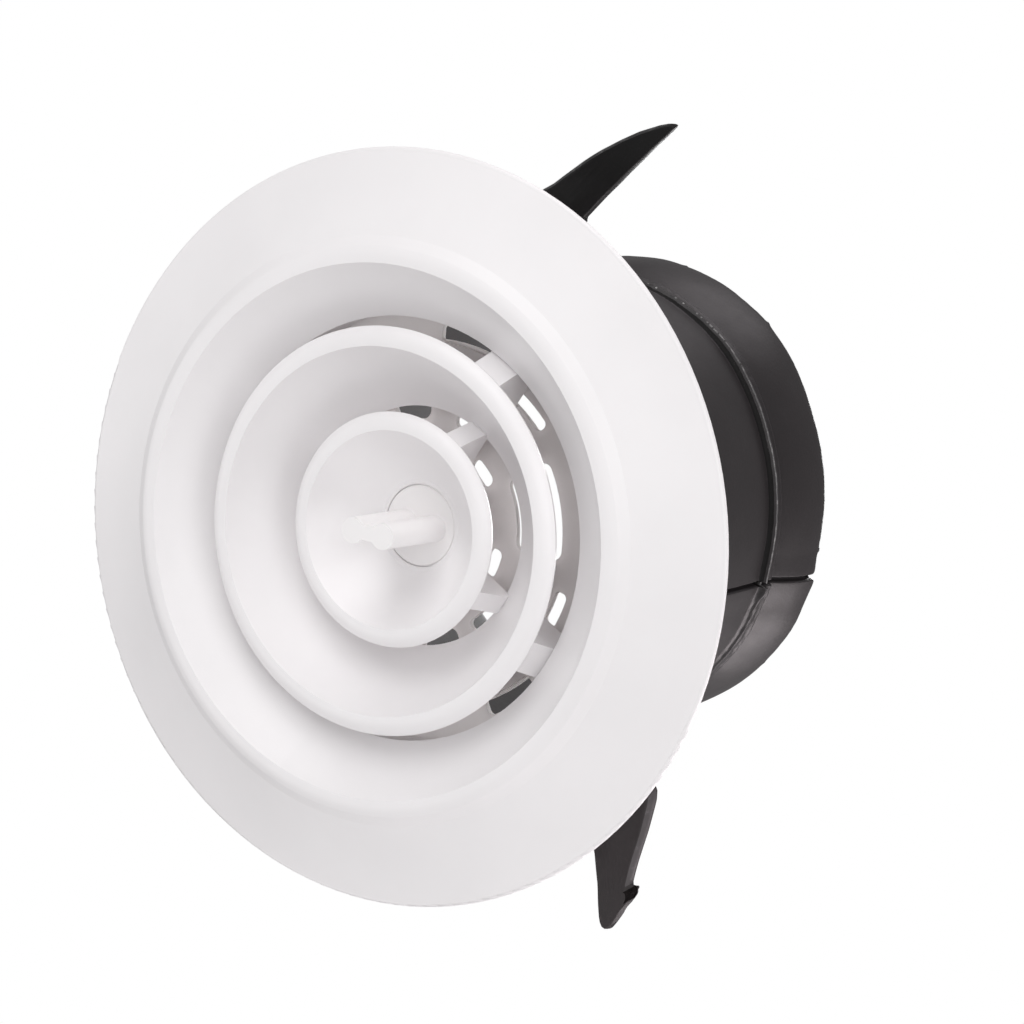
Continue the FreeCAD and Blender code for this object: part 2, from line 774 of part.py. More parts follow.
def make_claw(name, angle, flex=0.0, torn=False):
    """One claw, drawn on the -X side, flexed back about its pivot and turned to its place.

    A torn one has lost its point.
    """
    body = new_body(name)
    sketch = new_sketch(body, name + "_side", "XY_Plane")
    loop(sketch, [
        ("0 - pivot_r", "pivot_y - knuckle_r"),
        ("0 - pivot_r", "pivot_y + knuckle_r"),
        ("claw_back_shift - claw_bend_r", "claw_front + claw_t"),
        ("0 - claw_tip_r", "claw_front + claw_t"),
        ("0 - claw_tip_r", "claw_front"),
        ("0 - claw_bend_r", "claw_front"),
    ])
    pad(body, name + "_leaf", sketch, "2 * (Dims.claw_wide - Dims.claw_t)", midplane=True)
    sketch = new_sketch(body, name + "_plan", "XZ_Plane")
    tip = "claw_tip_slant - claw_tip_r"
    beyond = "0 - claw_tip_r - claw_clear"
    loop(sketch, [
        ("0 - claw_inner", "claw_half"),
        ("0 - claw_neck_r", "claw_half"),
        ("0 - claw_waist_r", "claw_waist"),
        (tip, "claw_tip_shift + claw_tip_half"),
        ("0 - claw_tip_r - claw_point", "claw_tip_shift"),
        (beyond, "claw_tip_shift"),
        (beyond, "claw_wide"),
        ("0 - claw_inner", "claw_wide"),
    ])
    loop(sketch, [
        ("0 - claw_inner", "0 - claw_half"),
        ("0 - claw_bow_start", "0 - claw_half", "claw_edge_bow_r", -1),
        (tip, "claw_tip_shift - claw_tip_half"),
        ("0 - claw_tip_r - claw_point", "claw_tip_shift - sliver"),
        (beyond, "claw_tip_shift - sliver"),
        (beyond, "0 - claw_wide"),
        ("0 - claw_inner", "0 - claw_wide"),
    ])
    cut_through(body, name + "_outline", sketch)
    if torn:
        sketch = new_sketch(body, name + "_tear", "XZ_Plane")
        loop(sketch, [
            ("0 - torn_nub_r", "0 - claw_wide"),
            ("0 - torn_nub_r", "torn_nub_w"),
            ("0 - torn_notch_r", "torn_notch_w", "torn_round_r", -1),
            ("0 - torn_end_r", "torn_end_w"),
            ("0 - torn_end_r", "claw_wide"),
            (beyond, "claw_wide"),
            (beyond, "0 - claw_wide"),
        ])
        cut_through(body, name + "_missing_point", sketch)
    for feature_name, radius, length in (
        ("knuckle", "knuckle_r", "2 * Dims.claw_half"),
        ("trunnions", "trunnion_r", "2 * (Dims.claw_half + Dims.ear_gap + Dims.ear_t)"),
    ):
        sketch = new_sketch(body, f"{name}_{feature_name}_outline", "XY_Plane")
        circle(sketch, radius, "0 - pivot_r", "pivot_y")
        pad(body, f"{name}_{feature_name}", sketch, length, midplane=True)
    pivot = Vector(-size("pivot_r"), size("pivot_y"), 0)
    flexed = Placement(Vector(), Rotation(Vector(0, 0, 1), -flex), pivot)
    placed = Placement(Vector(), Rotation(Vector(0, 1, 0), 180 - angle))
    body.Placement = placed.multiply(flexed)
    return finished(body)


make_face_frame()
make_core()
make_grille_plate()
make_damper_disc()
make_knob()
make_spring_washer()
make_flat_washer()
make_screw()
make_sleeve()
first = size("claw_first_angle")
make_claw("claw_upper", first)
make_claw("claw_left", first + 120.0, flex=size("claw_left_flex"))
make_claw("claw_lower", first - 120.0, torn=True)
doc.recompute()

for item in doc.Objects:
    if "Invalid" in item.State or "Error" in item.State:
        raise RuntimeError(f"{item.Name} failed: {item.State}")
os.makedirs("parts", exist_ok=True)
for body in subparts:
    shape = body.Shape
    if shape.isNull() or not shape.isValid() or len(shape.Solids) != 1:
        raise RuntimeError(f"{body.Label} is not one valid solid: {len(shape.Solids)}")
    shape.exportStep(f"parts/{body.Label}.step")
    print(body.Label, round(shape.Volume), "mm3")
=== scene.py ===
import math
import bpy
from mathutils import Matrix, Vector, noise


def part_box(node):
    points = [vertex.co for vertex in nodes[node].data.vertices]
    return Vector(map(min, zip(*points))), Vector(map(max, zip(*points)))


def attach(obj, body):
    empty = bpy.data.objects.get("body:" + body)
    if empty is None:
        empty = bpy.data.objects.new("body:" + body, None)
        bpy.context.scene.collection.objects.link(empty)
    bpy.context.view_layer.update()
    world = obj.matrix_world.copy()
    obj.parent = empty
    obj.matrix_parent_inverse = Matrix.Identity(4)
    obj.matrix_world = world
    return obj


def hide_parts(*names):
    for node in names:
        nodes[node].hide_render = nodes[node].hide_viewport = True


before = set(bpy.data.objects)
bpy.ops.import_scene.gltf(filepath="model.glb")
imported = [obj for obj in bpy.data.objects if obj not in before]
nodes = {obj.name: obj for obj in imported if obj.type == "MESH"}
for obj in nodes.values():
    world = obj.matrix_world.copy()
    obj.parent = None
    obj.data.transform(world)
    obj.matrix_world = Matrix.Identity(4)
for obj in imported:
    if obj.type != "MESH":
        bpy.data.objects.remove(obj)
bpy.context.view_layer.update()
scene = bpy.context.scene
MM = 0.001


# ---------------------------------------------------------------- materials

def new_material(name):
    """A new material, with its node tree, its main shader and the object's own coordinates."""
    material = bpy.data.materials.new(name)
    material.use_nodes = True
    tree = material.node_tree
    shader = next(n for n in tree.nodes if n.type == "BSDF_PRINCIPLED")
    coords = tree.nodes.new("ShaderNodeTexCoord")
    return material, tree, shader, coords.outputs["Object"]


def noise_node(tree, vector, scale, detail=3.0, roughness=0.5):
    """Soft noise from about 0 to 1. The scale is in waves per metre."""
    node = tree.nodes.new("ShaderNodeTexNoise")
    node.inputs["Scale"].default_value = scale
    node.inputs["Detail"].default_value = detail
    node.inputs["Roughness"].default_value = roughness
    tree.links.new(vector, node.inputs["Vector"])
    return node.outputs["Fac"]


def ramp(tree, factor, stops):
    """A colour ramp through (position, colour) stops. A grey may be given as one number."""
    node = tree.nodes.new("ShaderNodeValToRGB")
    elements = node.color_ramp.elements
    while len(elements) > 1:
        elements.remove(elements[-1])
    for i, (position, colour) in enumerate(stops):
        element = elements[0] if i == 0 else elements.new(position)
        element.position = position
        colour = (colour,) * 3 if isinstance(colour, (int, float)) else colour
        element.color = (*colour, 1.0)
    tree.links.new(factor, node.inputs["Fac"])
    return node.outputs["Color"]


def mix(tree, factor, first, second):
    """Goes from the first colour to the second by the factor. Either may be a socket or a colour."""
    node = tree.nodes.new("ShaderNodeMix")
    node.data_type = "RGBA"
    tree.links.new(factor, node.inputs["Factor"])
    for socket, value in ((node.inputs[6], first), (node.inputs[7], second)):
        if isinstance(value, tuple):
            socket.default_value = (*value, 1.0)
        else:
            tree.links.new(value, socket)
    return node.outputs[2]


def bump(tree, shader, layers):
    """Stacks bump layers of (height, strength, distance in mm)."""
    normal = None
    for height, strength, distance in layers:
        node = tree.nodes.new("ShaderNodeBump")
        node.inputs["Strength"].default_value = strength
        node.inputs["Distance"].default_value = distance * MM
        tree.links.new(height, node.inputs["Height"])
        if normal is not None:
            tree.links.new(normal, node.inputs["Normal"])
        normal = node.outputs["Normal"]
    tree.links.new(normal, shader.inputs["Normal"])


ABS_IOR = 1.49
BLACK_IOR = 1.5
# how far light passes through the white plastic, in mm
GLOW_REACH = 6.0


def white_abs(name, colour, rough, glow):
    """Satin moulded white plastic: faint flow mottle, fine texture and, with glow, some light through it."""
    material, tree, shader, where = new_material(name)
    flow = noise_node(tree, where, 38.0, 4.0)
    low = tuple(c * 0.975 for c in colour)
    high = tuple(min(c * 1.012, 1.0) for c in colour)
    tint = ramp(tree, flow, [(0.3, low), (0.7, high)])
    tree.links.new(tint, shader.inputs["Base Color"])
    smudge = noise_node(tree, where, 55.0, 5.0, 0.65)
    satin = ramp(tree, smudge, [(0.25, rough - 0.05), (0.75, rough + 0.08)])
    tree.links.new(satin, shader.inputs["Roughness"])
    shader.inputs["IOR"].default_value = ABS_IOR
    grain = noise_node(tree, where, 2600.0, 2.0)
    wave = noise_node(tree, where, 26.0, 1.0)
    bump(tree, shader, [(grain, 0.10, 0.06), (wave, 0.22, 0.6)])
    shader.inputs["Subsurface Weight"].default_value = glow
    shader.inputs["Subsurface Radius"].default_value = (1.0, 1.0, 1.0)
    shader.inputs["Subsurface Scale"].default_value = GLOW_REACH * MM
    return material


white_bright = white_abs("white_abs", (0.935, 0.915, 0.922), rough=0.36, glow=0.0)
# a lighter copy of the white plastic for the knob: its extra brightness is painted light on the handle
white_knob_painted_light = white_abs("white_abs_knob_painted_light", (0.960, 0.940, 0.940), rough=0.38, glow=0.0)
# a pinker copy of the white plastic for the plates: the pink is painted warm shade from light bounced inside
# the vent
white_plate_painted_warm_shade = white_abs("white_abs_plates_painted_warm_shade", (0.955, 0.885, 0.875), rough=0.45, glow=0.6)


def black_plastic(name, colour, rough, gloss, scuff_and_highlight_colour, scuff_and_highlight_low, scuff_and_highlight_high):
    """Soft black plastic with scuffs, dust and a fine moulded grain. In the glint and edge highlight copies
    its light specks are painted highlights.

    The scuffs and painted highlights come in where the noise goes from the low level given to the high one.
    """
    material, tree, shader, where = new_material(name)
    cloud = noise_node(tree, where, 30.0, 6.0, 0.6)
    low = tuple(c * 0.8 for c in colour)
    high = tuple(c * 1.25 for c in colour)
    tint = ramp(tree, cloud, [(0.3, low), (0.72, high)])
    scuff_and_highlight_noise = noise_node(tree, where, 420.0, 6.0, 0.75)
    scuff_and_highlight_mask = ramp(tree, scuff_and_highlight_noise, [(0.0, 0.0), (scuff_and_highlight_low, 0.0), (scuff_and_highlight_high, 1.0), (1.0, 1.0)])
    tree.links.new(mix(tree, scuff_and_highlight_mask, tint, scuff_and_highlight_colour), shader.inputs["Base Color"])
    smudge = noise_node(tree, where, 70.0, 5.0, 0.7)
    satin = ramp(tree, smudge, [(0.25, rough - 0.07), (0.75, rough + 0.09)])
    tree.links.new(satin, shader.inputs["Roughness"])
    shader.inputs["IOR"].default_value = BLACK_IOR
    shader.inputs["Specular IOR Level"].default_value = gloss
    grain = noise_node(tree, where, 1500.0, 3.0, 0.6)
    wave = noise_node(tree, where, 60.0, 2.0)
    bump(tree, shader, [(grain, 0.25, 0.12), (wave, 0.35, 0.6)])
    return material


black_sleeve = black_plastic(
    "black_sleeve_plastic", (0.0220, 0.0190, 0.0200), rough=0.40, gloss=0.36,
    scuff_and_highlight_colour=(0.060, 0.055, 0.058), scuff_and_highlight_low=0.66, scuff_and_highlight_high=0.80)
# painted shadow: a darker copy of the sleeve plastic for the shaded foot in front of the crest
sleeve_foot_shadow = black_plastic(
    "black_sleeve_painted_foot_shadow", (0.004, 0.0035, 0.0035), rough=0.6, gloss=0.2,
    scuff_and_highlight_colour=(0.02, 0.018, 0.018), scuff_and_highlight_low=0.66, scuff_and_highlight_high=0.80)
# painted glint: a lighter copy of the sleeve plastic, with bright specks, for the glint along the crest's
# top
sleeve_painted_glint = black_plastic(
    "black_sleeve_painted_glint", (0.085, 0.082, 0.083), rough=0.28, gloss=0.7,
    scuff_and_highlight_colour=(0.26, 0.25, 0.25), scuff_and_highlight_low=0.46, scuff_and_highlight_high=0.62)
black_claw = black_plastic(
    "black_claw_rubber", (0.0060, 0.0057, 0.0058), rough=0.46, gloss=0.2,
    scuff_and_highlight_colour=(0.04, 0.038, 0.039), scuff_and_highlight_low=0.68, scuff_and_highlight_high=0.84)
# a lighter copy of the claw rubber, for the lower claw
lighter_claw = black_plastic(
    "black_claw_lighter", (0.040, 0.035, 0.036), rough=0.52, gloss=0.25,
    scuff_and_highlight_colour=(0.06, 0.056, 0.058), scuff_and_highlight_low=0.68, scuff_and_highlight_high=0.84)
# painted highlight: a lighter copy of the claw rubber, with bright specks, for the lit strip along a claw's
# bevelled edge
claw_edge_highlight = black_plastic(
    "black_claw_painted_edge_highlight", (0.016, 0.0155, 0.016), rough=0.42, gloss=0.4,
    scuff_and_highlight_colour=(0.11, 0.106, 0.108), scuff_and_highlight_low=0.50, scuff_and_highlight_high=0.66)
# painted highlight for the lit bevel strip of the lower claw
lighter_claw_edge_highlight = black_plastic(
    "black_claw_lighter_painted_edge_highlight", (0.075, 0.067, 0.070), rough=0.48, gloss=0.4,
    scuff_and_highlight_colour=(0.15, 0.14, 0.145), scuff_and_highlight_low=0.56, scuff_and_highlight_high=0.74)
torn_rubber = black_plastic(
    "black_claw_torn", (0.006, 0.004, 0.004), rough=0.7, gloss=0.15,
    scuff_and_highlight_colour=(0.06, 0.04, 0.04), scuff_and_highlight_low=0.60, scuff_and_highlight_high=0.76)


def zinc_steel():
    """Bright plated steel, a little cloudy, with fine turning marks."""
    material, tree, shader, where = new_material("zinc_plated_steel")
    cloud = noise_node(tree, where, 300.0, 5.0, 0.6)
    tint = ramp(tree, cloud, [(0.3, (0.52, 0.52, 0.50)), (0.7, (0.70, 0.70, 0.67))])
    tree.links.new(tint, shader.inputs["Base Color"])
    tree.links.new(ramp(tree, cloud, [(0.3, 0.24), (0.7, 0.42)]), shader.inputs["Roughness"])
    shader.inputs["Metallic"].default_value = 1.0
    turned = noise_node(tree, where, 5200.0, 2.0)
    bump(tree, shader, [(turned, 0.2, 0.03)])
    return material


steel = zinc_steel()

# materials for the parts; the knob's has painted light and the plates' has painted warm shade
MATERIALS_AND_PAINTED_LIGHT = {
    "face_frame": white_bright,
    "diffuser_core": white_bright,
    "control_knob": white_knob_painted_light,
    "grille_plate": white_plate_painted_warm_shade,
    "damper_disc": white_plate_painted_warm_shade,
    "spring_washer": steel,
    "flat_washer": steel,
    "centre_screw": steel,
}
for name, material in MATERIALS_AND_PAINTED_LIGHT.items():
    for slot in nodes[name].material_slots:
        slot.material = material


# ---------------------------------------------------------------- mesh helpers

def smooth_step(low, high, value):
    """Goes smoothly from 0 at low to 1 at high."""
    t = min(max((value - low) / (high - low), 0.0), 1.0)
    return t * t * (3.0 - 2.0 * t)


def band(stretch, value):
    """Goes smoothly up to 1 and back to 0 over a stretch of (start, full, start of the fall, end)."""
    start, full, fade, end = stretch
    return smooth_step(start, full, value) * (1.0 - smooth_step(fade, end, value))


def hump(offset, half_width):
    """A bell curve that is 1 in its middle."""
    return math.exp(-(offset / half_width) ** 2)


def signed_turn(start, angle):
    """Degrees from start to angle, the short way round."""
    return (angle - start + 180.0) % 360.0 - 180.0


def periodic(points, angle):
    """Smooth interpolation of (degrees, value) points round a full circle."""
    count = len(points)
    for i in range(count):
        start, a = points[i]
        end, b = points[(i + 1) % count]
        span = (end - start) % 360.0
        offset = (angle - start) % 360.0
        if offset <= span:
            return a + (b - a) * smooth_step(0.0, 1.0, offset / span)
    return points[0][1]


def along_line(points, far):
    """Linear interpolation of (place, value) points."""
    for (x0, y0), (x1, y1) in zip(points, points[1:]):
        if far <= x1:
            return y0 + (y1 - y0) * max(far - x0, 0.0) / (x1 - x0)
    return points[-1][1]


def grid_object(name, rows, close_rows, close_columns, material):
    """A mesh from rows of points. Either way round can be closed."""
    height, width = len(rows), len(rows[0])
    points = [p for row in rows for p in row]
    faces = []
    for i in range(height if close_rows else height - 1):
        for j in range(width if close_columns else width - 1):
            k, m = (i + 1) % height, (j + 1) % width
            faces.append((i * width + j, i * width + m, k * width + m, k * width + j))
    mesh = bpy.data.meshes.new(name)
    mesh.from_pydata(points, [], faces)
    mesh.validate()
    mesh.update()
    mesh.polygons.foreach_set("use_smooth", [True] * len(mesh.polygons))
    mesh.materials.append(material)
    piece = bpy.data.objects.new(name, mesh)
    scene.collection.objects.link(piece)
    return piece


# ---------------------------------------------------------------- sleeve

# depths are mm behind the ceiling, angles are degrees round the axis
SEAM = -23.4
SLEEVE_LOW, SLEEVE_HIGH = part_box("duct_sleeve")
SLEEVE_START = SLEEVE_LOW.y / MM
SLEEVE_END = SLEEVE_HIGH.y / MM

# the wall's outside and inside, as (radius, depth) in mm
SLEEVE_OUTSIDE = [
    (47.2, 14.0), (47.4, 14.3), (47.4, 22.0), (47.4, 30.0), (47.4, 38.0), (47.4, 46.0), (47.4, 53.0),
    (47.4, 58.0), (47.38, 61.5), (47.3, 63.6), (47.2, 64.9), (47.2, 65.5), (47.5, 65.9), (48.1, 66.15),
    (48.6, 66.35), (48.78, 66.55), (48.74, 66.8), (48.45, 67.05), (48.1, 67.3), (47.85, 67.6),
    (47.72, 68.0), (47.68, 68.5), (47.7, 69.0), (47.82, 69.4), (47.9, 69.7), (47.8, 70.0), (47.4, 70.3),
    (47.0, 70.6), (46.85, 71.0), (46.9, 71.5), (47.15, 72.1), (47.5, 73.0), (47.95, 74.3), (48.45, 76.0),
    (48.9, 77.8), (49.25, 79.5), (49.5, 81.2), (49.65, 82.8), (49.72, 84.0), (49.72, 84.9), (49.66, 85.3),
    (49.5, 85.5),
]
SLEEVE_INSIDE = [
    (48.9, 85.62), (48.0, 85.66), (46.6, 85.66), (45.6, 85.6), (45.2, 85.45), (45.02, 85.1), (45.0, 84.4),
    (45.05, 81.0), (45.15, 77.0), (45.25, 73.0), (45.4, 69.0), (45.55, 65.0), (45.6, 61.6), (45.6, 54.0),
    (45.6, 46.0), (45.6, 38.0), (45.6, 30.0), (45.6, 22.0), (45.6, 14.3), (45.8, 14.0),
]
# the rear end lies this much higher than the front, in mm. The inside stays level up to its lip.
SLEEVE_TILT = 2.1
LEVEL_RADII = (45.2, 48.9)

# how far the soft lip stands off its round shape, in mm, by the angle, and the depth where that starts
LIP_WAVE = [(-180, 0.0), (-110, -0.2), (-69, 0.2), (-49, 0.75), (-37, 1.0), (-24, 0.3), (-16, -0.25),
            (12, -0.1), (41, 0.9), (55, 0.7), (72, 0.2), (84, -0.4), (94, -1.0), (120, -0.9), (150, -0.3)]
LIP_WAVE_START = 40.0

# the rough band round the sleeve, and the sharp crest at its front, by depth
ROUGH_BAND = (64.8, 66.2, 70.4, 72.0)
LUMP_HEIGHT, GRIT_HEIGHT = 0.16, 0.12
CREST = (65.8, 66.3, 67.0, 67.8)
CREST_HEIGHT = 0.75
# where the crest wears away, in degrees below the seam and above it
WORN_BELOW = (1.0, 5.0)
WORN_ABOVE = (58.0, 92.0)
# the material of the rows of the outside where the crest's front foot and its top lie, by row: painted
# shadow on the foot and a painted glint on the top
FOOT_SHADOW, GLINT = 1, 2
CREST_ROWS = {11: FOOT_SHADOW, 12: FOOT_SHADOW, 14: GLINT}
# the painted shadow and glint both end this far past the seam
CREST_PAINT_END = 150.0
# the painted glint shows where noise is above a level, which starts here and goes up by 1 over this stretch
GLINTS_START = -0.8
GLINTS_THIN_OUT = (45.0, 80.0)

# the open gap just past the seam and the proud edge before it, by degrees past the seam, in mm
SEAM_GAP = (0.05, 0.22, 0.95, 1.35)
SEAM_GAP_DEPTH = 1.25
PROUD_EDGE_START = -8.0
PROUD_EDGE_HEIGHT = 0.42
# faint waves over the whole outside
WALL_WAVE = 0.05

# the cut rear edge: the depths where its unevenness comes in, the heights of its long waves and small
# steps, its nubs as (angle, height) and its notch past the seam
CUT_EDGE = (80.5, SLEEVE_END - 0.3)
CUT_WAVE, CUT_STEP = 0.22, 0.14
EDGE_NUBS = [(68.5, 0.7), (42.0, 0.55), (-16.2, 0.75), (-48.5, 0.4)]
NUB_HALF_WIDTH = 0.55
NOTCH_ANGLE, NOTCH_HALF_WIDTH, NOTCH_DEPTH = 0.7, 0.65, 1.4

# spacing of the columns round the sleeve, in degrees
FINE_HALF_SPAN, FINE_STEP, FINE_COLUMNS = 3.0, 0.12, 51
COARSE_STEP = 0.5
CLOSING_STEP = 0.3


def sleeve_angles():
    """Angles round the sleeve, close together at the seam."""
    angles = [SEAM - FINE_HALF_SPAN + FINE_STEP * i for i in range(FINE_COLUMNS)]
    end = angles[0] + 360.0 - CLOSING_STEP
    while angles[-1] + COARSE_STEP < end:
        angles.append(angles[-1] + COARSE_STEP)
    return angles


def sleeve_relief(spot, past_seam):
    """How far the outside stands off its profile: rough band, worn crest, seam and faint waves, in mm."""
    rough = noise.noise(spot * 0.7) * LUMP_HEIGHT
    rough += noise.noise(spot * 2.3) * GRIT_HEIGHT * (0.5 + noise.noise(spot * 0.11))
    if past_seam < 0:
        worn = smooth_step(*WORN_BELOW, -past_seam)
    else:
        worn = smooth_step(*WORN_ABOVE, past_seam)
    relief = band(ROUGH_BAND, spot.y) * rough * (0.5 + 0.5 * worn)
    relief -= band(CREST, spot.y) * CREST_HEIGHT * worn
    relief -= SEAM_GAP_DEPTH * band(SEAM_GAP, past_seam)
    if PROUD_EDGE_START < past_seam <= SEAM_GAP[0]:
        relief += PROUD_EDGE_HEIGHT * smooth_step(PROUD_EDGE_START, 0.0, past_seam)
    return relief + WALL_WAVE * noise.noise(spot * 0.16)


def cut_edge(way, angle, past_seam):
    """How far the rear edge stands out: long shallow waves, small steps, nubs and a notch at the seam."""
    trim = CUT_WAVE * noise.noise(Vector((way.x, way.y, 0.3)) * 9.0)
    trim += CUT_STEP * noise.noise(Vector((way.x, way.y, 2.0)) * 38.0)
    for nub, size in EDGE_NUBS:
        trim += size * hump(signed_turn(nub, angle), NUB_HALF_WIDTH)
    return trim - NOTCH_DEPTH * hump(past_seam - NOTCH_ANGLE, NOTCH_HALF_WIDTH)


def sleeve_point(radius, depth, angle, outside):
    """A point of the sleeve's skin, in metres, from its place on the profile and its angle."""
    way = Vector((math.cos(math.radians(angle)), math.sin(math.radians(angle)), 0.0))
    past_seam = signed_turn(SEAM, angle)
    radius += periodic(LIP_WAVE, angle) * smooth_step(LIP_WAVE_START, SLEEVE_END, depth)
    if outside:
        radius += sleeve_relief(Vector((way.x * radius, depth, way.y * radius)), past_seam)
    depth += smooth_step(*CUT_EDGE, depth) * cut_edge(way, angle, past_seam)
    tilt = SLEEVE_TILT * max(depth - SLEEVE_START, 0.0) / (SLEEVE_END - SLEEVE_START)
    if not outside:
        tilt *= smooth_step(*LEVEL_RADII, radius)
    return Vector((way.x * radius, depth, way.y * radius + tilt)) * MM


def paint_crest_shadow_and_glint(piece, angles):
    """Paints shadow on the crest's foot and a glint along its top, which breaks up higher round the sleeve.
    """
    piece.data.materials.append(sleeve_foot_shadow)
    piece.data.materials.append(sleeve_painted_glint)
    for row, painted_light in CREST_ROWS.items():
        for column, angle in enumerate(angles):
            past_seam = (angle - SEAM) % 360.0
            level = GLINTS_START + smooth_step(*GLINTS_THIN_OUT, past_seam)
            shines = level < noise.noise(Vector((angle * 1.3, 0.0, 0.0)))
            if past_seam < CREST_PAINT_END and (painted_light == FOOT_SHADOW or shines):
                piece.data.polygons[row * len(angles) + column].material_index = painted_light


def make_sleeve():
    """The flexible sleeve: a wall with a seam, a worn crest, a flared lip and a hand-cut rear edge."""
    angles = sleeve_angles()
    rows = []
    for radius, depth in SLEEVE_OUTSIDE:
        rows.append([sleeve_point(radius, depth, angle, True) for angle in angles])
    for radius, depth in SLEEVE_INSIDE:
        rows.append([sleeve_point(radius, depth, angle, False) for angle in angles])
    piece = grid_object("sleeve_skin", rows, True, True, black_sleeve)
    paint_crest_shadow_and_glint(piece, angles)
    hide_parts("duct_sleeve")
    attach(piece, "frame")


make_sleeve()


# ---------------------------------------------------------------- claws

# the pivot's distance from the axis and its depth, in mm, like all sizes here
PIVOT_R, PIVOT_Y = 49.5, 7.6
# the knuckle round the pivot and where the leaf's own thickness comes in over it
KNUCKLE_R = 2.3
KNUCKLE_BLEND = (PIVOT_R - 0.6, PIVOT_R)
# the blade's depth and half its thickness, the least half thickness, and where a whole leaf ends
LEAF_MIDDLE = 14.75
LEAF_HALF_T = 1.15
LEAST_HALF_T = 0.02
TIP_R = 94.8
# faint unevenness of the leaf
LEAF_WAVE = 0.10
# the hinge pin
PIN_R = 1.5
PIN_HALF = 10.75
PIN_CHAMFER = 0.2
PIN_SIDES = 32

# the two long edges of the leaf, as (distance out along the claw, sideways place) in mm
STRAIGHT_EDGE = [(46.0, 8.2), (58.0, 8.2), (64.0, 6.4), (70.0, 4.9), (76.0, 7.4), (82.0, 10.1),
                 (88.0, 12.9), (93.0, 15.3), (94.3, 15.9), (94.8, 16.0)]
BOWED_EDGE = [(46.0, -8.2), (63.0, -8.3), (67.5, -9.0), (70.0, -7.7), (72.0, -6.0), (74.6, -4.1),
              (79.5, -0.4), (83.3, 2.5), (86.9, 5.6), (90.0, 8.6), (93.0, 12.2), (94.2, 14.0),
              (94.8, 15.5)]
TORN_STRAIGHT = [(46.0, 8.2), (58.0, 8.2), (64.0, 6.6), (70.0, 5.0), (73.0, 6.2), (78.0, 8.9),
                 (82.0, 11.5), (83.8, 12.6), (84.8, 13.1), (85.7, 13.3), (86.4, 13.0), (86.8, 12.4),
                 (86.95, 11.9)]
TORN_BOWED = [(46.0, -8.2), (63.0, -8.3), (66.5, -11.4), (69.0, -11.0), (70.5, -9.8), (74.6, -5.4),
              (79.0, -0.4), (81.6, 2.5), (82.4, 2.9), (83.0, 2.3), (83.7, 2.7), (84.3, 3.6), (84.8, 5.0),
              (85.1, 6.6), (85.8, 8.2), (86.4, 9.8), (86.8, 11.0), (86.95, 11.6)]

# stretches along a leaf, in mm from the axis
RISE = (PIVOT_R + 1.2, 63.0)
BLADE = (60.0, 68.0)
TAPER_START = 80.0
TIP_ROUND = 0.7
# the shares of the thickness that the taper and the rounded tip take away
TAPER_SHARE, TIP_SHARE = 0.30, 0.8
# the bowed side of the blade curls back by this much, over this share of its width
CURL = (*BLADE, 70.0, 82.0)
CURL_DEPTH = 2.6
CURL_SHARE = 0.675
# radius of the long edges, which is shallower where the leaf's half thickness is under the second value
EDGE_ROUND = 0.45
EDGE_ROUND_HALF_T = 0.6
# the bevel that cuts the front along the bowed edge, and its most depth as a share of the half thickness
BEVEL_START, BEVEL_FULL = 62.0, 71.0
BEVEL_NARROW = 0.35
BEVEL_WIDTH = 1.25
BEVEL_SLOPE = 0.90
BEVEL_MOST = 1.1
# faint ribs along the straight edge, by their distance from it, clear of the long edges
RIBS = (*BLADE, 80.0, 84.0)
RIB_PLACES = (2.7, 4.2, 5.9)
RIB_HEIGHT = 0.05
RIB_HALF_WIDTH = 0.24
RIB_EDGE_GAP = (0.8, 2.0)
# the torn place at the end of the lower claw: where it opens and closes, how far in it reaches, its depth
# and the roughness of its bottom, and how ragged its outline is
TEAR_OPENS = (81.8, 83.0)
TEAR_CLOSES = (83.8, 84.8)
TEAR_REACH = (1.4, 2.6)
TEAR_DEPTH, TEAR_ROUGH = 0.75, 0.9
TEAR_RAGGED = 0.45
# the bare rubber in it starts where the tear is this far open, as a share, and ends at this distance
# from the axis and this far in from the bowed edge
BARE_OPEN, BARE_END, BARE_REACH = 0.3, 84.4, 2.2

# spacing of the rows along a leaf: close over the knuckle, then wider, and a little short of its ends
KNUCKLE_ROWS, KNUCKLE_STEP = 30, 0.18
BLADE_STEP = 0.32
START_GAP, END_GAP = 0.04, 0.01
# steps in from the two long edges, in mm, and the number of even steps between them
BEVEL_STEPS = [0.0, 0.04, 0.11, 0.22, 0.40, 0.58, 0.76, 0.94, 1.10]
EDGE_STEPS = [0.45, 0.22, 0.11, 0.04, 0.0]
MIDDLE_STEPS = 26
# a leaf narrower than this has its edge steps made smaller to fit
FULL_STEP_WIDTH = 5.0

# a leaf's materials; the second is the painted highlight on the lit bevel strip
SKIN, EDGE_HIGHLIGHT, TORN = 0, 1, 2


def leaf_stations(end):
    """Distances from the axis of the rows along a leaf."""
    start = PIVOT_R - KNUCKLE_R + START_GAP
    stations = [start + KNUCKLE_STEP * i for i in range(KNUCKLE_ROWS)]
    last = end - END_GAP
    while stations[-1] < last:
        stations.append(min(stations[-1] + BLADE_STEP, last))
    return stations


def leaf_columns(width, bevel):
    """Distances in from the bowed edge of a leaf this wide. The bevel is a share of its full width."""
    scale = min(width / FULL_STEP_WIDTH, 1.0)
    near = [step * scale * bevel for step in BEVEL_STEPS]
    far = [width - step * scale for step in EDGE_STEPS]
    gap = (far[0] - near[-1]) / MIDDLE_STEPS
    middle = [near[-1] + gap * i for i in range(1, MIDDLE_STEPS)]
    return near + middle + far


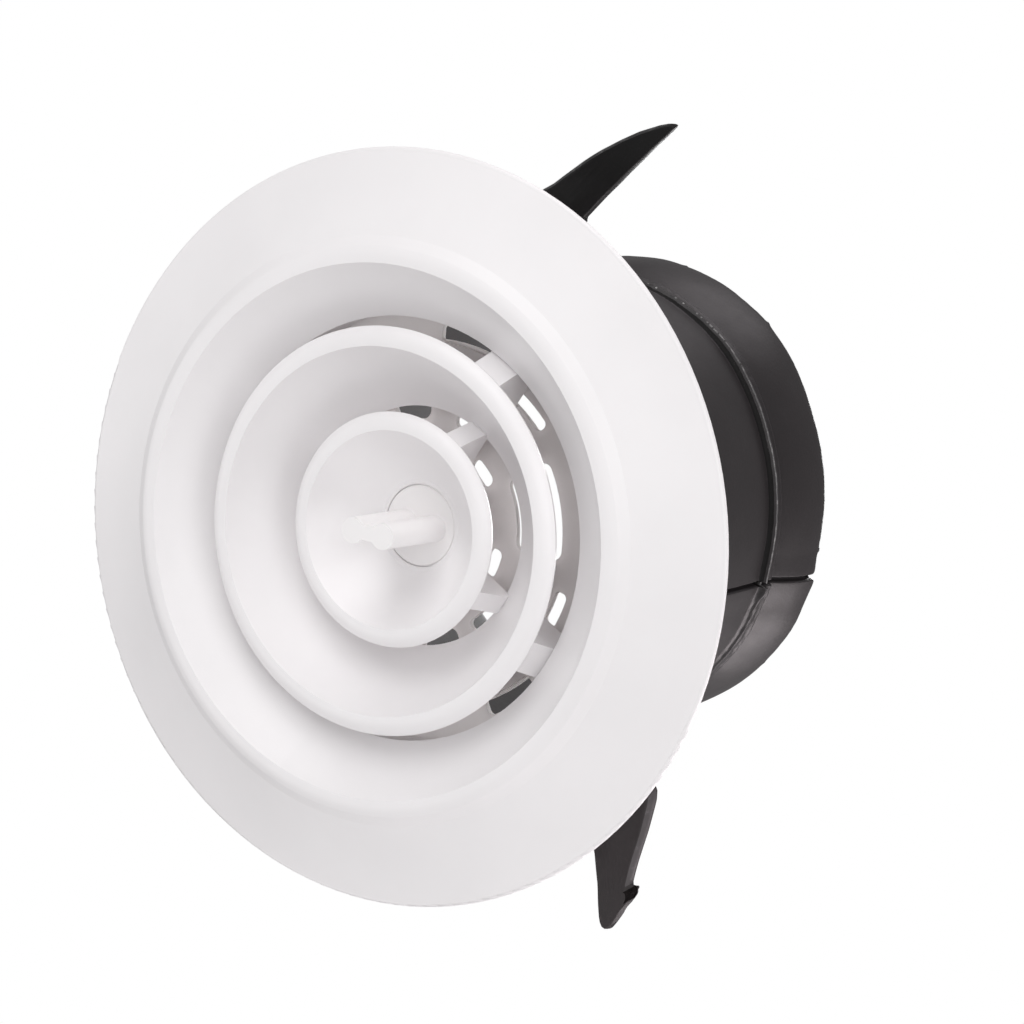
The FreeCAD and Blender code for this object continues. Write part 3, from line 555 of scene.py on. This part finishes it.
def half_thickness(far, end):
    """Half the leaf's thickness: round at the knuckle, thinner towards a rounded tip."""
    taper = 1.0 - TAPER_SHARE * smooth_step(TAPER_START, end, far)
    tip = 1.0 - TIP_SHARE * smooth_step(end - TIP_ROUND, end, far)
    half = LEAF_HALF_T * taper * tip
    if far < PIVOT_R + KNUCKLE_R:
        knuckle = math.sqrt(max(KNUCKLE_R ** 2 - (far - PIVOT_R) ** 2, LEAST_HALF_T ** 2))
        half = max(half * smooth_step(*KNUCKLE_BLEND, far), knuckle)
    return half


def leaf_height(far, from_bowed, from_straight, half, side):
    """Height of the skin above the leaf's middle: rounded long edges and, in front, the bevel and ribs."""
    near = min(from_bowed, from_straight)
    height = half
    if near < EDGE_ROUND:
        drop = EDGE_ROUND - math.sqrt(max(EDGE_ROUND ** 2 - (EDGE_ROUND - near) ** 2, 0.0))
        height -= drop * min(half / EDGE_ROUND_HALF_T, 1.0)
    if side > 0:
        bevel = min(max(BEVEL_WIDTH - from_bowed, 0.0) * BEVEL_SLOPE, half * BEVEL_MOST)
        height -= smooth_step(*BLADE, far) * bevel
        ribs = sum(hump(from_straight - place, RIB_HALF_WIDTH) for place in RIB_PLACES)
        height += RIB_HEIGHT * ribs * band(RIBS, far) * smooth_step(*RIB_EDGE_GAP, near)
    return height


def leaf_section(far, straight, bowed, angle):
    """The skin across a leaf, as (sideways place, depth, material): the front, then the back."""
    end = straight[-1][0]
    tear = smooth_step(*TEAR_OPENS, far) if end < TIP_R - 1.0 else 0.0
    left = along_line(bowed, far)
    left += tear * TEAR_RAGGED * noise.noise(Vector((far * 1.9, 3.1, 0.7)))
    width = along_line(straight, far) - left
    middle = PIVOT_Y + (LEAF_MIDDLE - PIVOT_Y) * smooth_step(*RISE, far)
    half = half_thickness(far, end)
    curl = CURL_DEPTH * band(CURL, far)
    bevel = BEVEL_NARROW + (1.0 - BEVEL_NARROW) * smooth_step(BEVEL_START, BEVEL_FULL, far)
    columns = leaf_columns(width, bevel)
    front = [(place, 1) for place in columns]
    back = [(place, -1) for place in reversed(columns)]
    section = []
    for count, (from_bowed, side) in enumerate(front + back):
        aside = left + from_bowed
        depth = middle - side * leaf_height(far, from_bowed, width - from_bowed, half, side)
        depth += curl * max(0.0, CURL_SHARE - from_bowed / width) / CURL_SHARE
        depth += LEAF_WAVE * noise.noise(Vector((far * 0.22, aside * 0.22, angle)))
        material = SKIN
        # the bevel strip gets the painted edge highlight
        if far > BEVEL_START and count < len(BEVEL_STEPS) - 1 and tear == 0.0:
            material = EDGE_HIGHLIGHT
        if side > 0:
            torn = tear * (1.0 - smooth_step(*TEAR_REACH, from_bowed))
            torn *= 1.0 - smooth_step(*TEAR_CLOSES, far)
            bottom = TEAR_DEPTH + TEAR_ROUGH * noise.noise(Vector((far * 1.6, aside * 1.6, 0.0)))
            depth += torn * bottom
            if tear > BARE_OPEN and far < BARE_END and from_bowed < BARE_REACH:
                material = TORN
        section.append((aside, depth, material))
    return section


def claw_place(far, aside, depth, angle, flex=0.0):
    """Turns a place on a leaf, in mm, into one on the object, in metres. The leaf is folded by flex."""
    way, bend = math.radians(angle), math.radians(flex)
    out, back = far - PIVOT_R, depth - PIVOT_Y
    r = PIVOT_R + out * math.cos(bend) - back * math.sin(bend)
    y = PIVOT_Y + out * math.sin(bend) + back * math.cos(bend)
    x = r * math.cos(way) + aside * math.sin(way)
    z = r * math.sin(way) - aside * math.cos(way)
    return Vector((x, y, z)) * MM


def make_leaf(name, angle, straight, bowed, skin, edge_highlight, flex):
    """A knuckle at the pivot, a rise, then a flat swept blade with a bevelled bowed edge."""
    rows = []
    materials_and_highlights = []
    for far in leaf_stations(straight[-1][0]):
        section = leaf_section(far, straight, bowed, angle)
        rows.append([claw_place(far, aside, depth, angle, flex) for aside, depth, _ in section])
        materials_and_highlights += [material for _, _, material in section]
    columns = len(rows[0])
    first = [sum(rows[0], Vector()) / columns] * columns
    last = [sum(rows[-1], Vector()) / columns] * columns
    leaf = grid_object(name + "_leaf", [first] + rows + [last], False, True, skin)
    leaf.data.materials.append(edge_highlight)
    leaf.data.materials.append(torn_rubber)
    for polygon, material in zip(leaf.data.polygons, [SKIN] * columns + materials_and_highlights):
        polygon.material_index = material
    return leaf


def make_pin(name, angle, skin):
    """The leaf's hinge pin, with a small chamfer at both ends."""
    inner = PIN_HALF - PIN_CHAMFER
    profile = [(-PIN_HALF, 0.01), (-PIN_HALF, PIN_R - PIN_CHAMFER), (-inner, PIN_R), (inner, PIN_R),
               (PIN_HALF, PIN_R - PIN_CHAMFER), (PIN_HALF, 0.01)]
    turns = [math.tau * i / PIN_SIDES for i in range(PIN_SIDES)]
    rows = []
    for aside, radius in profile:
        row = []
        for turn in turns:
            far = PIVOT_R + radius * math.cos(turn)
            row.append(claw_place(far, aside, PIVOT_Y + radius * math.sin(turn), angle))
        rows.append(row)
    return grid_object(name + "_pin", rows, False, True, skin)


def make_claw(name, angle, straight, bowed, skin, edge_highlight, flex=0.0):
    """One springy claw that points along angle, folded back by flex degrees."""
    leaf = make_leaf(name, angle, straight, bowed, skin, edge_highlight, flex)
    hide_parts(name)
    pin = make_pin(name, angle, skin)
    for piece in (leaf, pin):
        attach(piece, name)


make_claw("claw_upper", 62.0, STRAIGHT_EDGE, BOWED_EDGE, black_claw, claw_edge_highlight)
make_claw("claw_left", 182.0, STRAIGHT_EDGE, BOWED_EDGE, black_claw, claw_edge_highlight, flex=18.0)
make_claw("claw_lower", -58.0, TORN_STRAIGHT, TORN_BOWED, lighter_claw, lighter_claw_edge_highlight)


# ---------------------------------------------------------------- floor, light and camera

# in metres
FLOOR_R = 0.68
FLOOR_Z = -0.60
FLOOR_SIDES = 96

# brightness of the world as a light. The camera sees it as plain white.
WORLD_LIGHT = 0.32

# where all the lights point
CENTRE = (0.0, 0.02, 0.0)
WHITE = (1.0, 1.0, 1.0)
# name, place, width in metres, power in watts and colour
LIGHTS = [
    ("top_front", (0.2, -0.75, 0.85), 0.8, 3.4, WHITE),
    ("top_steep", (0.1, -0.3, 1.05), 0.6, 1.95, WHITE),
    ("front_right", (0.9, -0.65, 0.25), 0.8, 2.25, WHITE),
    ("camera_side", (0.55, -0.95, 0.15), 0.6, 1.2, WHITE),
    ("side_right_low", (0.9, -0.4, -0.4), 0.6, 1.5, WHITE),
    ("side_left", (-1.0, -0.4, 0.1), 0.6, 1.45, WHITE),
    ("low_left", (-0.6, -0.8, -0.4), 0.8, 1.15, WHITE),
    ("top_rear", (0.25, 0.5, 0.85), 0.8, 2.7, (1.0, 0.94, 0.97)),
    ("duct_end", (0.0, 0.22, 0.0), 0.08, 0.19, WHITE),
    ("low_rear", (0.30, 0.30, -0.5), 0.4, 2.6, (1.0, 0.92, 0.94)),
]

# lens and sensor in mm, place in metres
LENS = 140.625
SENSOR_WIDTH = 36.0
EYE_PLACE = (0.4422, -0.6499, 0.0566)
EYE_FORWARD = (-0.53744, 0.84048, -0.06893)
EYE_RIGHT = (0.84330, 0.53564, -0.04393)


def make_floor():
    """A round white sheet far below the object, that glows a little."""
    mesh = bpy.data.meshes.new("floor")
    turns = [math.tau * i / FLOOR_SIDES for i in range(FLOOR_SIDES)]
    ring = [(FLOOR_R * math.cos(turn), FLOOR_R * math.sin(turn), FLOOR_Z) for turn in turns]
    mesh.from_pydata(ring, [], [tuple(range(FLOOR_SIDES))])
    floor = bpy.data.objects.new("floor", mesh)
    scene.collection.objects.link(floor)
    material, _, shader, _ = new_material("floor_white")
    shader.inputs["Base Color"].default_value = (0.9, 0.9, 0.9, 1.0)
    shader.inputs["Roughness"].default_value = 0.9
    shader.inputs["Emission Color"].default_value = (1.0, 1.0, 1.0, 1.0)
    shader.inputs["Emission Strength"].default_value = 0.05
    mesh.materials.append(material)


def make_world():
    """A soft white room light, and a plain white background for the camera."""
    world = bpy.data.worlds.new("studio")
    scene.world = world
    world.use_nodes = True
    tree = world.node_tree
    background = next(n for n in tree.nodes if n.type == "BACKGROUND")
    output = next(n for n in tree.nodes if n.type == "OUTPUT_WORLD")
    background.inputs["Color"].default_value = (1.0, 0.985, 0.995, 1.0)
    background.inputs["Strength"].default_value = WORLD_LIGHT
    seen = tree.nodes.new("ShaderNodeBackground")
    seen.inputs["Color"].default_value = (1.0, 1.0, 1.0, 1.0)
    seen.inputs["Strength"].default_value = 1.0
    path = tree.nodes.new("ShaderNodeLightPath")
    choose = tree.nodes.new("ShaderNodeMixShader")
    tree.links.new(path.outputs["Is Camera Ray"], choose.inputs["Fac"])
    tree.links.new(background.outputs["Background"], choose.inputs[1])
    tree.links.new(seen.outputs["Background"], choose.inputs[2])
    tree.links.new(choose.outputs["Shader"], output.inputs["Surface"])


def area_light(name, place, size, power, colour):
    """A round lamp that points at the centre and is hidden from the camera."""
    light = bpy.data.lights.new(name, "AREA")
    light.shape = "DISK"
    light.size = size
    light.energy = power
    light.color = colour
    lamp = bpy.data.objects.new(name, light)
    scene.collection.objects.link(lamp)
    lamp.location = place
    lamp.visible_camera = False
    lamp.rotation_mode = "QUATERNION"
    lamp.rotation_quaternion = (Vector(place) - Vector(CENTRE)).to_track_quat("Z", "Y")


def make_camera():
    """The camera of the main view, in front of the object and to its right."""
    camera = bpy.data.cameras.new("camera")
    camera.lens = LENS
    camera.sensor_width = SENSOR_WIDTH
    camera.clip_start = 0.01
    camera.clip_end = 50.0
    eye = bpy.data.objects.new("camera", camera)
    scene.collection.objects.link(eye)
    forward = Vector(EYE_FORWARD).normalized()
    up = Vector(EYE_RIGHT).normalized().cross(forward).normalized()
    right = forward.cross(up).normalized()
    turn = Matrix((right, up, -forward)).transposed().to_4x4()
    eye.matrix_world = Matrix.Translation(EYE_PLACE) @ turn
    scene.camera = eye


make_floor()
make_world()
for light_row in LIGHTS:
    area_light(*light_row)
make_camera()
scene.view_settings.view_transform = "Standard"
